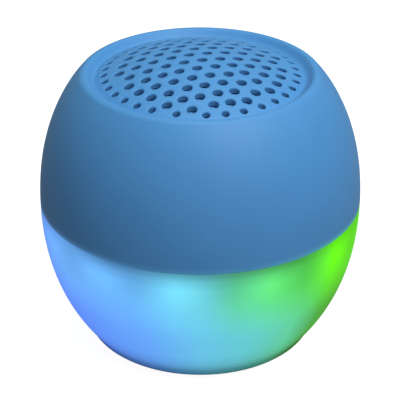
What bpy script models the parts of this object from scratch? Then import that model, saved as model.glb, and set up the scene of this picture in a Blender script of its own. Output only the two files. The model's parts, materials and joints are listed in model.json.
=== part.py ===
"""Mini Bluetooth speaker with a light-up base: an egg-shaped body 70 mm across.

The frame's origin is the bottom centre of the rubber foot, +Z is up, the front faces -Y and
the controls and the charging port are at the back, +Y. Everything is in metres.

From top to bottom: a domed grille held in the top shell by the driver, a full-range driver
facing up, the main board with its side-push switches, a white chassis whose cup holds the
battery, a ring of LEDs under the chassis, the milky light diffuser, and the base.
"""

import math

import bmesh
import bpy
from mathutils import Matrix, Vector
from mathutils.geometry import delaunay_2d_cdt

MM = 0.001
GAP = 0.3 * MM                    # clearance where two pieces meet

# Body outline: a superellipse above and below the seam, where the body is widest
BODY_RADIUS = 35.0 * MM
SEAM_Z = 33.3 * MM
UPPER_HEIGHT, UPPER_POWER = 40.4 * MM, 2.164
LOWER_HEIGHT, LOWER_POWER = 41.5 * MM, 2.11
SHELL_WALL = 2.0 * MM
BODY_SEGMENTS = 40

# Rim of the top shell, a round bead round the grille
RIM_RING, RIM_Z, RIM_BEAD = 24.35 * MM, 60.9 * MM, 2.0 * MM
RIM_LEAVES_AT = math.radians(41)  # where the bead runs into the body outline

# Grille: a dome, z = DOME_TOP - DOME_FALL * r * r, with holes on a hexagonal lattice
DOME_TOP, DOME_FALL = 66.27 * MM, 9.5
GRILLE_WALL = 1.2 * MM
GRILLE_EDGE, GRILLE_SKIRT = 22.05 * MM, 21.6 * MM
GRILLE_FLANGE, GRILLE_FLANGE_LOW, GRILLE_FLANGE_HIGH = 23.9 * MM, 58.6 * MM, 59.7 * MM
HOLE_PITCH, HOLE_RADIUS = 3.91 * MM, 1.15 * MM
EDGE_HOLE_RING, EDGE_HOLE_RADIUS = 20.7 * MM, 0.8 * MM
HOLE_FIELD = 19.4 * MM            # lattice points beyond this move to the edge ring
HOLE_REACH = 22.975 * MM          # and those beyond this are left out
HOLE_SPACINGS = (3.6 * MM, 3.3 * MM, 4.0 * MM)  # least: in the field, field to ring, on the ring
SPACING_ROUNDS = 40
LATTICE_TURN = math.radians(14.6)
LATTICE_SHIFT = (-0.2 * MM, 0.7 * MM)
HOLE_SIDES = 6

# Driver, a 40 mm full-range unit facing up
DRIVER_TOP = 57.5 * MM
FLANGE_THICK = 1.1 * MM
EAR_RING, EAR_RADIUS = 25.7 * MM, 1.5 * MM
EAR_LOW, EAR_HIGH = 55.3 * MM, 56.3 * MM
DRIVER_SEGMENTS = 24

# Main board and chassis levels
BOARD_LOW, BOARD_HIGH, BOARD_RADIUS = 40.1 * MM, 41.1 * MM, 26.6 * MM
CHASSIS_LOW, CHASSIS_HIGH = 33.6 * MM, 35.2 * MM
CUP_FLOOR_LOW = 5.4 * MM

# Controls at the back
BUTTON_Z, BUTTON_RADIUS, BUTTON_PROUD = 45.4 * MM, 3.0 * MM, 0.7 * MM
BUTTON_SPREAD = math.radians(19)
PORT_Z, FLAP_HALF_WIDTH, FLAP_HALF_HEIGHT = 38.2 * MM, 6.0 * MM, 2.5 * MM
FLAP_THICK, FLAP_CORNER = 1.0 * MM, 2.2 * MM
POCKET_DEPTH = 1.5 * MM
HINGE_X, HINGE_Y = -5.4 * MM, 34.25 * MM

# Lights
LED_COUNT, LED_RING = 12, 28.9 * MM
LED_FIRST = math.radians(-96.3)

# Screws: self-tapping, 1.4 mm
SHANK, PILOT, HEAD = 0.7 * MM, 1.0 * MM, 1.5 * MM
POST_RING, POST_RADIUS = 29.0 * MM, 1.9 * MM
POST_ANGLES = [math.radians(-81.3 + 120 * step) for step in range(3)]
EAR_ANGLES = [math.radians(45 + 90 * step) for step in range(4)]
BASE_SCREWS = [(0, side * 8.5 * MM) for side in (-1, 1)]
BOARD_SCREWS = [(side * 19.5 * MM, -11.2 * MM) for side in (-1, 1)]


# ---------------------------------------------------------------- scene and materials

def clear_scene():
    for old in list(bpy.data.objects):
        bpy.data.objects.remove(old, do_unlink=True)


def material(name, color, roughness, metallic=0.0):
    made = bpy.data.materials.get(name) or bpy.data.materials.new(name)
    made.use_nodes = True
    shader = made.node_tree.nodes["Principled BSDF"]
    shader.inputs["Base Color"].default_value = (*color, 1.0)
    shader.inputs["Roughness"].default_value = roughness
    shader.inputs["Metallic"].default_value = metallic
    return made


SOFT_BLUE = material("soft_touch_blue", (0.075, 0.21, 0.44), 0.6)
MILKY = material("milky_diffuser", (0.62, 0.85, 0.92), 0.35)
WHITE = material("white_plastic", (0.86, 0.87, 0.87), 0.5)
BLACK = material("black_plastic", (0.03, 0.03, 0.035), 0.5)
DARK_RUBBER = material("dark_rubber", (0.03, 0.035, 0.045), 0.8)
CLOTH = material("acoustic_cloth", (0.015, 0.03, 0.05), 0.95)
FOAM = material("grey_foam", (0.12, 0.12, 0.13), 0.95)
PAPER = material("pressed_paper", (0.05, 0.05, 0.055), 0.85)
SPIDER = material("woven_spider", (0.62, 0.42, 0.16), 0.9)
COIL = material("wound_coil", (0.55, 0.27, 0.12), 0.45, 0.6)
STEEL = material("plated_steel", (0.62, 0.63, 0.65), 0.32, 1.0)
FERRITE = material("ferrite", (0.07, 0.07, 0.075), 0.7)
BOARD = material("circuit_board", (0.02, 0.12, 0.09), 0.5)
CHIP = material("chip_resin", (0.025, 0.025, 0.03), 0.45)
LED = material("led_resin", (0.9, 0.9, 0.82), 0.3)
CELL = material("battery_wrap", (0.55, 0.57, 0.6), 0.35, 0.5)
WIRE = material("wire_sleeve", (0.45, 0.04, 0.03), 0.55)


# ---------------------------------------------------------------- building blocks

def face_outward(bm):
    """Turn every face of one closed solid outwards."""
    bmesh.ops.recalc_face_normals(bm, faces=bm.faces)
    if bm.calc_volume(signed=True) < 0:
        bmesh.ops.reverse_faces(bm, faces=bm.faces)


def add_object(name, bm, finish, smooth_below=35):
    """Make a named object, shaded smooth except at edges sharper than the given angle."""
    mesh = bpy.data.meshes.new(name)
    if finish:
        face_outward(bm)
    bm.to_mesh(mesh)
    bm.free()
    mesh.shade_smooth()
    mesh.set_sharp_from_angle(angle=math.radians(smooth_below))
    made = bpy.data.objects.new(name, mesh)
    bpy.context.scene.collection.objects.link(made)
    if finish:
        made.data.materials.append(finish)
    return made


def turned(profile, segments, centre=(0.0, 0.0)):
    """Spin a closed outline of (radius, z) points about a vertical axis."""
    bm = bmesh.new()
    verts = [bm.verts.new((radius, 0, z)) for radius, z in profile]
    edges = [bm.edges.new((one, two)) for one, two in zip(verts, verts[1:] + verts[:1])
             if one.co.x > 0 or two.co.x > 0]
    bmesh.ops.spin(bm, geom=verts + edges, cent=(0, 0, 0), axis=(0, 0, 1),
                   angle=math.tau, steps=segments, use_merge=True)
    bmesh.ops.remove_doubles(bm, verts=bm.verts, dist=0.001 * MM)
    bmesh.ops.translate(bm, verts=bm.verts, vec=(centre[0], centre[1], 0))
    return bm


def prism(outline, low, high):
    """Raise a closed outline of (x, y) points into a solid between two heights."""
    bm = bmesh.new()
    base = bm.faces.new([bm.verts.new((x, y, low)) for x, y in outline])
    raised = bmesh.ops.extrude_face_region(bm, geom=[base])
    moved = [item for item in raised["geom"] if isinstance(item, bmesh.types.BMVert)]
    bmesh.ops.translate(bm, verts=moved, vec=(0, 0, high - low))
    return bm


def rounded_box(size, centre, corner=0.0, steps=2):
    """A box with its four upright edges rounded."""
    half_x, half_y = size[0] / 2, size[1] / 2
    outline = []
    for turn, (side_x, side_y) in enumerate([(1, 1), (-1, 1), (-1, -1), (1, -1)]):
        corner_x, corner_y = side_x * (half_x - corner), side_y * (half_y - corner)
        for step in range(steps + 1 if corner else 1):
            angle = math.radians(90) * (turn + step / steps)
            outline.append((corner_x + corner * math.cos(angle),
                            corner_y + corner * math.sin(angle)))
    bm = prism(outline, -size[2] / 2, size[2] / 2)
    bmesh.ops.translate(bm, verts=bm.verts, vec=centre)
    return bm


def lay_along(bm, direction, start):
    """Turn a shape that stands on the origin along +Z to lie along a direction from start."""
    turn = Vector((0, 0, 1)).rotation_difference(Vector(direction)).to_matrix().to_4x4()
    bm.transform(Matrix.Translation(start) @ turn)
    return bm


def rod(radius, low, high, centre, segments=10):
    return turned([(0, low), (radius, low), (radius, high), (0, high)], segments, centre)


def screw_post(low, high, bore_high, centre, segments=12):
    """A post with a blind pilot hole up from its lower end."""
    return turned([(PILOT, low), (POST_RADIUS, low), (POST_RADIUS, high), (0, high),
                   (0, bore_high), (PILOT, bore_high)], segments, centre)


def joined(*shapes):
    """Several separate bmesh shapes in one mesh."""
    mesh = bpy.data.meshes.new("shapes")
    total = bmesh.new()
    for shape in shapes:
        face_outward(shape)
        shape.to_mesh(mesh)
        total.from_mesh(mesh)
        shape.free()
    bpy.data.meshes.remove(mesh)
    return total


def cut(target, operation, tool_name, *shapes):
    """Cut shapes out of an object, or weld them to it, with one Boolean modifier."""
    tool = add_object(tool_name, joined(*shapes), None)
    tool.hide_render = True
    tool.display_type = "WIRE"
    boolean = target.modifiers.new(tool_name, "BOOLEAN")
    boolean.operation = operation
    boolean.solver = "EXACT"
    boolean.object = tool


def polar(radius, angle):
    return (radius * math.cos(angle), radius * math.sin(angle))


def arc(centre, radius, start, end, steps):
    """Points on an arc of an outline, from one angle to another."""
    return [(centre[0] + radius * math.cos(start + (end - start) * step / steps),
             centre[1] + radius * math.sin(start + (end - start) * step / steps))
            for step in range(steps + 1)]


# ---------------------------------------------------------------- body outline

def body_radius(z):
    """Radius of the outer surface at a height."""
    height, power = (UPPER_HEIGHT, UPPER_POWER) if z > SEAM_Z else (LOWER_HEIGHT, LOWER_POWER)
    rise = min(abs(z - SEAM_Z) / height, 1.0)
    return BODY_RADIUS * (1 - rise ** power) ** (1 / power)


def inside_body(z, depth):
    """The outline point reached by going a depth straight in from the surface at a height."""
    step = 0.05 * MM
    slope = (body_radius(z + step) - body_radius(z - step)) / (2 * step)
    length = math.hypot(1, slope)
    return (body_radius(z) - depth / length, z + depth * slope / length)


def body_points(start_z, end_z, count, depth=0.0):
    """Evenly spaced outline points between two heights, at a depth below the surface."""
    heights = [start_z + (end_z - start_z) * step / (count - 1) for step in range(count)]
    return [inside_body(z, depth) for z in heights]


def surface_y(x, z):
    """Where the back of the body is, above a point of the XZ plane."""
    return math.sqrt(body_radius(z) ** 2 - x * x)


def back_pad(half_width, half_height, corner, outer, inner, columns=10, centre_z=PORT_Z):
    """A rounded plate that follows the back of the body between two offsets from it."""
    bm = bmesh.new()
    rows = []
    for column in range(columns + 1):
        x = -half_width * math.cos(math.pi * column / columns)
        past_corner = max(abs(x) - (half_width - corner), 0)
        drop = corner - math.sqrt(max(corner ** 2 - past_corner ** 2, 0))
        top = max(half_height - drop, 0.25 * half_height)
        heights = [centre_z + top * share for share in (-1, 0, 1)]
        rows.append([[bm.verts.new((x, surface_y(x, z) + offset, z)) for z in heights]
                     for offset in (outer, inner)])
    for one, two in zip(rows, rows[1:]):
        for layer in (0, 1):
            for step in (0, 1):
                bm.faces.new((one[layer][step], one[layer][step + 1],
                              two[layer][step + 1], two[layer][step]))
        for step in (0, 2):
            bm.faces.new((one[0][step], one[1][step], two[1][step], two[0][step]))
    for end in (rows[0], rows[-1]):
        for step in (0, 1):
            bm.faces.new((end[0][step], end[0][step + 1], end[1][step + 1], end[1][step]))
    return bm


# ---------------------------------------------------------------- housing

def make_top_shell():
    """Blue upper housing: bead round the grille, inner landing for the driver, three posts."""
    lip_z, rebate_z = SEAM_Z + GAP / 2, 35.1 * MM
    rebate_radius, bore, landing_z, roof_z = 34.0 * MM, 24.2 * MM, EAR_HIGH + GAP, 60.0 * MM
    bead = arc((RIM_RING, RIM_Z), RIM_BEAD, math.pi, RIM_LEAVES_AT, 5)
    outer = body_points(bead[-1][1] - 0.9 * MM, lip_z, 8)
    inner = body_points(rebate_z, landing_z + 0.9 * MM, 6, SHELL_WALL)
    landing_edge = inner[-1][0]
    profile = [(bead[0][0], roof_z)] + bead + outer
    profile += [(rebate_radius, lip_z), (rebate_radius, rebate_z)] + inner[:-1]
    profile += [(landing_edge, landing_z), (bore, landing_z), (bore, roof_z)]
    shell = add_object("top_shell", turned(profile, BODY_SEGMENTS), SOFT_BLUE)

    posts = [screw_post(CHASSIS_HIGH + GAP, 51 * MM, 44 * MM, polar(POST_RING, angle))
             for angle in POST_ANGLES]
    port_boss = rounded_box((15.2 * MM, 2.1 * MM, 5.7 * MM), (0, 32.55 * MM, 38.45 * MM))
    cut(shell, "UNION", "shell_posts", *posts, port_boss)

    holes = [rod(PILOT, 50 * MM, 59.9 * MM, polar(EAR_RING, angle)) for angle in EAR_ANGLES]
    slot = rounded_box((9.6 * MM, 3.8 * MM, 6 * MM), (0, 0, 0), 1.7 * MM)
    slot.transform(Matrix.Translation((0, 32 * MM, PORT_Z)) @ Matrix.Rotation(math.pi / 2, 4, "X"))
    cut(shell, "DIFFERENCE", "shell_bores", *holes, slot)
    pocket = back_pad(FLAP_HALF_WIDTH + GAP, FLAP_HALF_HEIGHT + GAP, FLAP_CORNER + GAP,
                      2 * MM, -POCKET_DEPTH)
    cut(shell, "DIFFERENCE", "flap_pocket", pocket)
    windows = []
    for angle in BUTTON_ANGLES:
        windows.append(lay_along(rod(BUTTON_RADIUS + GAP, 0, 12 * MM, (0, 0), 20),
                                 outward(angle), radial_point(27 * MM, angle, BUTTON_Z)))
    windows.append(lay_along(rod(0.6 * MM, 0, 12 * MM, (0, 0), 8), outward(MIC_ANGLE),
                             radial_point(27 * MM, MIC_ANGLE, 44.5 * MM)))
    cut(shell, "DIFFERENCE", "button_windows", *windows)


def make_light_diffuser():
    """Milky lower bowl, with a tongue that laps inside the top shell's edge."""
    lip_z, tongue_z = SEAM_Z - GAP / 2, 34.8 * MM
    tongue_out, tongue_in = 33.7 * MM, 32.85 * MM
    rest_z, recess, recess_z = 0.9 * MM, 18.2 * MM, 3.6 * MM
    opening, flange_z = 13.5 * MM, 5.1 * MM
    outer = body_points(lip_z, 2.4 * MM, 9)
    foot_edge = [(23.6 * MM, 1.3 * MM), (22.3 * MM, rest_z)]
    inner = body_points(7.0 * MM, 30.5 * MM, 6, SHELL_WALL)
    profile = [(tongue_in, tongue_z), (tongue_out, tongue_z), (tongue_out, lip_z)]
    profile += outer + foot_edge
    profile += [(recess, rest_z), (recess, recess_z), (opening, recess_z), (opening, flange_z)]
    profile += [(21.0 * MM, flange_z)] + inner
    add_object("light_diffuser", turned(profile, BODY_SEGMENTS), MILKY)


def make_base():
    """Base plate that clamps the bowl to the chassis, and the rubber foot that covers it."""
    low, high, radius = 1.3 * MM, 3.3 * MM, 17.9 * MM
    counterbore_z = 2.9 * MM
    plate = add_object("base_plate", turned([(0, low), (radius - 0.4 * MM, low),
                                             (radius, low + 0.4 * MM), (radius, high),
                                             (0, high)], 32), BLACK)
    bores = [turned([(0, 0), (1.9 * MM, 0), (1.9 * MM, counterbore_z), (PILOT, counterbore_z),
                     (PILOT, 5 * MM), (0, 5 * MM)], 16, place) for place in BASE_SCREWS]
    cut(plate, "DIFFERENCE", "base_bores", *bores)
    foot_radius, foot_high = 15.5 * MM, 1.0 * MM
    edge = 0.3 * MM
    add_object("rubber_foot", turned([(0, 0), (foot_radius - edge, 0), (foot_radius, edge),
                                      (foot_radius, foot_high), (0, foot_high)], 32), DARK_RUBBER)


def make_chassis():
    """White frame across the seam, with the reflecting cup that holds the battery."""
    cup_floor = 6.9 * MM
    profile = [(0, CUP_FLOOR_LOW), (14.7 * MM, CUP_FLOOR_LOW), (15.5 * MM, 6.2 * MM),
               (19.4 * MM, CHASSIS_LOW), (32.2 * MM, CHASSIS_LOW), (32.2 * MM, CHASSIS_HIGH),
               (17.8 * MM, CHASSIS_HIGH), (14.2 * MM, 7.5 * MM), (13.6 * MM, cup_floor),
               (0, cup_floor)]
    chassis = add_object("chassis", turned(profile, 36), WHITE)
    bosses = [rod(POST_RADIUS, 6.2 * MM, 11.2 * MM, place) for place in BASE_SCREWS]
    bosses += [rod(POST_RADIUS, 34.4 * MM, BOARD_LOW - GAP, place) for place in BOARD_SCREWS]
    cut(chassis, "UNION", "chassis_bosses", *bosses)
    holes = [rod(PILOT, 4 * MM, 10.0 * MM, place) for place in BASE_SCREWS]
    holes += [rod(PILOT, 36.2 * MM, 42 * MM, place) for place in BOARD_SCREWS]
    holes += [rod(PILOT, 32 * MM, 37 * MM, polar(POST_RING, angle)) for angle in POST_ANGLES]
    cut(chassis, "DIFFERENCE", "chassis_holes", *holes)


# ---------------------------------------------------------------- grille

def hole_places():
    """Centres and radii of the grille's holes.

    Points of a triangular lattice that lie near the edge move out to one ring of smaller holes.
    Holes that come too close then push each other apart, the ring's own along the ring.
    """
    across = Vector(polar(HOLE_PITCH, LATTICE_TURN))
    along = Vector(polar(HOLE_PITCH, LATTICE_TURN + math.radians(60)))
    start = (across + along) / 3 + Vector(LATTICE_SHIFT)
    reach = int(GRILLE_EDGE / HOLE_PITCH) + 3
    points, on_ring = [], []
    for column in range(-reach, reach + 1):
        for row in range(-reach, reach + 1):
            point = across * column + along * row + start
            if point.length < HOLE_FIELD:
                points.append(point)
                on_ring.append(False)
            elif point.length < HOLE_REACH:
                points.append(point.normalized() * EDGE_HOLE_RING)
                on_ring.append(True)
    for _ in range(SPACING_ROUNDS):
        pushes = [Vector((0, 0)) for _ in points]
        for one in range(len(points)):
            for two in range(one):
                spacing = HOLE_SPACINGS[on_ring[one] + on_ring[two]]
                between = points[one] - points[two]
                if between.length < spacing:
                    push = between.normalized() * (spacing - between.length) * 0.3
                    pushes[one] += push
                    pushes[two] -= push
        for index, push in enumerate(pushes):
            points[index] = points[index] + push
            if on_ring[index]:
                points[index] = points[index].normalized() * EDGE_HOLE_RING
    return [(point, EDGE_HOLE_RADIUS if edge else HOLE_RADIUS)
            for point, edge in zip(points, on_ring)]


def dome_z(radius):
    return DOME_TOP - DOME_FALL * radius * radius


def perforated_sheet(edge_radius, holes, segments):
    """Points and triangles of a flat disc with round holes."""
    points, edges, loops = [], [], []
    rings = [((0, 0), edge_radius, segments)]
    rings += [(centre, radius, HOLE_SIDES) for centre, radius in holes]
    for centre, radius, sides in rings:
        first = len(points)
        for side in range(sides):
            x, y = polar(radius, math.tau * side / sides)
            points.append(Vector((centre[0] + x, centre[1] + y)))
            edges.append((first + side, first + (side + 1) % sides))
        loops.append(list(range(first, first + sides)))
    made = delaunay_2d_cdt(points, edges, [], 0, 1e-7)
    corners, faces = made[0], made[2]
    solid = []
    for face in faces:
        middle = sum((corners[index] for index in face), Vector((0, 0))) / len(face)
        in_hole = any((middle - Vector(centre)).length < radius * math.cos(math.pi / sides)
                      for centre, radius, sides in rings[1:])
        if not in_hole and middle.length < edge_radius:
            solid.append(list(face))
    return corners, solid, loops


def make_grille():
    """Perforated dome with a flange that is trapped under the top shell's bead."""
    holes = hole_places()
    segments = BODY_SEGMENTS
    bm = bmesh.new()
    layers = []
    for edge_radius, drop in ((GRILLE_EDGE, 0), (GRILLE_SKIRT, GRILLE_WALL)):
        corners, faces, loops = perforated_sheet(edge_radius, holes, segments)
        verts = [bm.verts.new((point.x, point.y, dome_z(point.length) - drop))
                 for point in corners]
        for face in faces:
            bm.faces.new([verts[index] for index in face])
        layers.append([[verts[index] for index in loop] for loop in loops])
    top, bottom = layers
    for upper, lower in zip(top[1:], bottom[1:]):
        for side in range(HOLE_SIDES):
            following = (side + 1) % HOLE_SIDES
            bm.faces.new((upper[side], upper[following], lower[following], lower[side]))
    skirt = [(GRILLE_EDGE, GRILLE_FLANGE_HIGH), (GRILLE_FLANGE, GRILLE_FLANGE_HIGH),
             (GRILLE_FLANGE, GRILLE_FLANGE_LOW), (GRILLE_SKIRT, GRILLE_FLANGE_LOW)]
    rings = [top[0]]
    for radius, z in skirt:
        rings.append([bm.verts.new((*polar(radius, math.tau * side / segments), z))
                      for side in range(segments)])
    rings.append(bottom[0])
    for upper, lower in zip(rings, rings[1:]):
        for side in range(segments):
            following = (side + 1) % segments
            bm.faces.new((upper[side], upper[following], lower[following], lower[side]))
    add_object("speaker_grille", bm, SOFT_BLUE)


def make_dust_screen():
    """Thin cloth screen just under the perforated dome."""
    clear, thick, rings = 0.5 * MM, 0.4 * MM, 3
    radii = [21.2 * MM * step / rings for step in range(rings + 1)]
    top = [(radius, dome_z(radius) - GRILLE_WALL - clear) for radius in radii]
    bottom = [(radius, z - thick) for radius, z in reversed(top)]
    add_object("dust_screen", turned(top + bottom, DRIVER_SEGMENTS), CLOTH)


# ---------------------------------------------------------------- driver

def make_driver_frame():
    """Pressed basket with four ears, four windows and a shelf for the spider."""
    top, low = DRIVER_TOP, DRIVER_TOP - FLANGE_THICK
    profile = [(17.6 * MM, top), (23.7 * MM, top), (23.7 * MM, low), (19.0 * MM, low),
               (15.4 * MM, 51.4 * MM), (13.9 * MM, 49.0 * MM), (9.4 * MM, 49.0 * MM),
               (9.4 * MM, 50.0 * MM), (12.3 * MM, 50.0 * MM), (12.3 * MM, 50.6 * MM),
               (14.0 * MM, 50.6 * MM), (17.6 * MM, 55.8 * MM)]
    frame = add_object("driver_frame", turned(profile, DRIVER_SEGMENTS), STEEL)
    ears = []
    for angle in EAR_ANGLES:
        tip = rod(EAR_RADIUS, EAR_LOW, EAR_HIGH, polar(EAR_RING, angle), 16)
        neck = rounded_box((2.0 * MM, 2 * EAR_RADIUS, top - EAR_LOW - 0.4 * MM),
                           (22.6 * MM, 0, (EAR_LOW + top - 0.4 * MM) / 2))
        arm = rounded_box((3.2 * MM, 1.99 * EAR_RADIUS, 0.999 * (EAR_HIGH - EAR_LOW)),
                          (24.1 * MM, 0, (EAR_LOW + EAR_HIGH) / 2))
        for shape in (neck, arm):
            shape.transform(Matrix.Rotation(angle, 4, "Z"))
        ears.append((tip, neck, arm))
    for name, pieces in zip(("tips", "necks", "arms"), zip(*ears)):
        cut(frame, "UNION", f"driver_ear_{name}", *pieces)
    holes = [rod(PILOT, 50 * MM, 60 * MM, polar(EAR_RING, angle)) for angle in EAR_ANGLES]
    for angle in (0, math.pi / 2, math.pi, -math.pi / 2):
        window = rounded_box((8 * MM, 9 * MM, 3.2 * MM), (17 * MM, 0, 53.6 * MM))
        window.transform(Matrix.Rotation(angle, 4, "Z"))
        holes.append(window)
    cut(frame, "DIFFERENCE", "driver_windows", *holes)


def make_driver_soft_parts():
    """Gasket, surround, cone, dust cap, voice coil and spider."""
    gasket_low, gasket_high = 57.8 * MM, 58.3 * MM
    add_object("driver_gasket", turned([(21.8 * MM, gasket_low), (23.6 * MM, gasket_low),
                                        (23.6 * MM, gasket_high), (21.8 * MM, gasket_high)],
                                       DRIVER_SEGMENTS), FOAM)

    lip, skin = 57.8 * MM, 0.4 * MM
    roll_centre, roll_radius = (16.6 * MM, lip), 1.6 * MM
    over = arc(roll_centre, roll_radius + skin, math.pi * 0.93, math.pi * 0.07, 4)
    under = arc(roll_centre, roll_radius, 0, math.pi, 4)
    profile = [(13.6 * MM, lip + skin)] + over + [(20.0 * MM, lip + skin), (20.0 * MM, lip)]
    profile += under + [(13.6 * MM, lip)]
    add_object("driver_surround", turned(profile, DRIVER_SEGMENTS), DARK_RUBBER)

    skin = 0.5 * MM
    neck, mouth = (6.7 * MM, 52.5 * MM), (14.6 * MM, 57.5 * MM)
    add_object("driver_cone", turned([neck, mouth, (mouth[0], mouth[1] - skin),
                                      (neck[0], neck[1] - skin)], DRIVER_SEGMENTS), PAPER)

    cap_radius, cap_rise, cap_top, skin = 7.6 * MM, 2.5 * MM, 56.0 * MM, 0.4 * MM
    sphere = (cap_radius ** 2 + cap_rise ** 2) / (2 * cap_rise)
    radii = [cap_radius * step / 3 for step in range(4)]
    crown = [(radius, cap_top - sphere + math.sqrt(sphere ** 2 - radius ** 2))
             for radius in radii]
    hollow = [(radius, z - skin) for radius, z in reversed(crown)]
    add_object("driver_dust_cap", turned(crown + hollow, DRIVER_SEGMENTS), PAPER)

    bore, former, winding = 6.0 * MM, 6.4 * MM, 6.9 * MM
    add_object("voice_coil", turned([(bore, 46.0 * MM), (former, 46.0 * MM),
                                     (former, 46.2 * MM), (winding, 46.2 * MM),
                                     (winding, 50.0 * MM), (former, 50.0 * MM),
                                     (former, 53.2 * MM), (bore, 53.2 * MM)],
                                    DRIVER_SEGMENTS), COIL)

    low, wave, skin, folds = 50.9 * MM, 0.35 * MM, 0.35 * MM, 5
    inner_edge, outer_edge = 6.75 * MM, 13.8 * MM
    ridge = []
    for fold in range(folds + 1):
        radius = inner_edge + (outer_edge - inner_edge) * fold / folds
        ridge.append((radius, low + (wave if fold % 2 else 0)))
    profile = ridge + [(radius, z + skin) for radius, z in reversed(ridge)]
    add_object("driver_spider", turned(profile, DRIVER_SEGMENTS), SPIDER)


def make_driver_magnet():
    """Back plate with its pole, ring magnet and top plate."""
    pole, plate = 5.4 * MM, 12.5 * MM
    plate_low, plate_high, pole_high = 41.7 * MM, 43.3 * MM, 48.7 * MM
    add_object("driver_back_plate", turned([(0, plate_low), (plate, plate_low),
                                            (plate, plate_high), (pole, plate_high),
                                            (pole, pole_high), (0, pole_high)],
                                           DRIVER_SEGMENTS), STEEL)
    for name, inner, outer, low, high, finish in (
            ("driver_magnet", 8.2, 12.4, 43.6, 46.8, FERRITE),
            ("driver_top_plate", 7.3, 12.5, 47.1, 48.7, STEEL)):
        ring = [(inner * MM, low * MM), (outer * MM, low * MM),
                (outer * MM, high * MM), (inner * MM, high * MM)]
        add_object(name, turned(ring, DRIVER_SEGMENTS), finish)


# ---------------------------------------------------------------- electronics

def make_main_board():
    """Round board with a tongue at the back that carries the charging socket."""
    tongue_half, tongue_end = 7.5 * MM, 31.0 * MM
    start = math.acos(tongue_half / BOARD_RADIUS)
    steps = 36
    outline = [(-tongue_half, tongue_end), (tongue_half, tongue_end)]
    outline += arc((0, 0), BOARD_RADIUS, start, -math.pi - start, steps)
    board = add_object("main_board", prism(outline, BOARD_LOW, BOARD_HIGH), BOARD)
    cut(board, "DIFFERENCE", "board_holes",
        *[rod(PILOT, 38 * MM, 43 * MM, place) for place in BOARD_SCREWS])


def make_board_parts():
    on_board = BOARD_HIGH + GAP
    for name, size, place, finish in (
            ("bluetooth_module", (9.0, 11.0, 1.7), (-18.5, 6.0), CHIP),
            ("amplifier_chip", (6.0, 6.0, 1.2), (18.5, 4.0), CHIP)):
        size = [side * MM for side in size]
        centre = (place[0] * MM, place[1] * MM, on_board + size[2] / 2)
        add_object(name, rounded_box(size, centre, 0.3 * MM, 1), finish)

    capsule = rounded_box((1.6 * MM, 3.8 * MM, 2.6 * MM), (24.8 * MM, 0, on_board + 1.3 * MM))
    capsule.transform(Matrix.Rotation(MIC_ANGLE, 4, "Z"))
    add_object("microphone", capsule, STEEL)


def make_usb_connector():
    """Charging socket: a rounded steel sleeve with its contact tongue inside."""
    width, height, length = 8.9 * MM, 3.2 * MM, 6.4 * MM
    wall, blind = 0.35 * MM, 1.2 * MM
    mouth_y = 32.2 * MM
    lie_back = Matrix.Rotation(math.pi / 2, 4, "X")
    centre = Vector((0, mouth_y - length / 2, PORT_Z))
    sleeve = rounded_box((width, height, length), (0, 0, 0), 1.4 * MM)
    sleeve.transform(Matrix.Translation(centre) @ lie_back)
    socket = add_object("usb_connector", sleeve, STEEL)
    cavity = rounded_box((width - 2 * wall, height - 2 * wall, length), (0, 0, 0), 1.1 * MM)
    cavity.transform(Matrix.Translation(centre + Vector((0, blind, 0))) @ lie_back)
    cut(socket, "DIFFERENCE", "usb_cavity", cavity)
    tongue = rounded_box((6.6 * MM, 4.6 * MM, 0.7 * MM),
                         (0, mouth_y - length + blind + 2.0 * MM, PORT_Z))
    cut(socket, "UNION", "usb_tongue", tongue)


def make_battery():
    cell_low, cell_high = 8.4 * MM, 34.4 * MM
    add_object("battery_cell", rounded_box((24 * MM, 8 * MM, cell_high - cell_low),
                                           (0, 0, (cell_low + cell_high) / 2), 1.6 * MM), CELL)
    add_object("battery_pad", rounded_box((20 * MM, 6.4 * MM, 0.9 * MM),
                                          (0, 0, 7.65 * MM), 0.8 * MM), FOAM)


def make_lead(name, points):
    """A sleeved lead: a bevelled curve through a few points, with closed ends."""
    curve = bpy.data.curves.new(name, "CURVE")
    curve.dimensions = "3D"
    curve.bevel_depth = 0.6 * MM
    curve.bevel_resolution = 1
    curve.use_fill_caps = True
    spline = curve.splines.new("POLY")
    spline.points.add(len(points) - 1)
    for target, point in zip(spline.points, points):
        target.co = (*[value * MM for value in point], 1)
    lead = bpy.data.objects.new(name, curve)
    bpy.context.scene.collection.objects.link(lead)
    curve.materials.append(WIRE)


def make_leads():
    make_lead("battery_lead", [(-8, 0, 34.75), (-8.4, -0.4, 36), (-9.4, -1.4, 38),
                               (-9.8, -1.8, 39.75)])
    make_lead("speaker_lead", [(-20.5, -6.5, 41.45), (-20.8, -6.5, 44), (-21.3, -6.7, 48),
                               (-21.2, -6.7, 52), (-20.6, -6.5, 56.05)])


def make_lights():
    """Ring board under the chassis with LEDs at even spacing round the wall."""
    low, high, inner, outer = 32.2 * MM, 33.3 * MM, 20.4 * MM, 31.2 * MM
    board = add_object("led_board", turned([(inner, low), (outer, low), (outer, high),
                                            (inner, high)], 32), WHITE)
    cut(board, "DIFFERENCE", "led_board_holes",
        *[rod(2.0 * MM, 30 * MM, 35 * MM, polar(POST_RING, angle)) for angle in POST_ANGLES])
    depth, width, height = 2.8 * MM, 3.5 * MM, 1.7 * MM
    for number in range(LED_COUNT):
        angle = LED_FIRST + math.tau * number / LED_COUNT
        body = rounded_box((depth, width, height), (0, 0, 0), 0.3 * MM, 1)
        led = add_object(f"led_{number + 1:02d}", body, LED)
        led.location = (*polar(LED_RING, angle), low - GAP - height / 2)
        led.rotation_euler.z = angle


# ---------------------------------------------------------------- controls

BACK = math.pi / 2
MIC_ANGLE = math.radians(131)
BUTTON_NAMES = ("minus", "play", "plus")
BUTTON_ANGLES = [BACK + BUTTON_SPREAD * step for step in (-1, 0, 1)]


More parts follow.
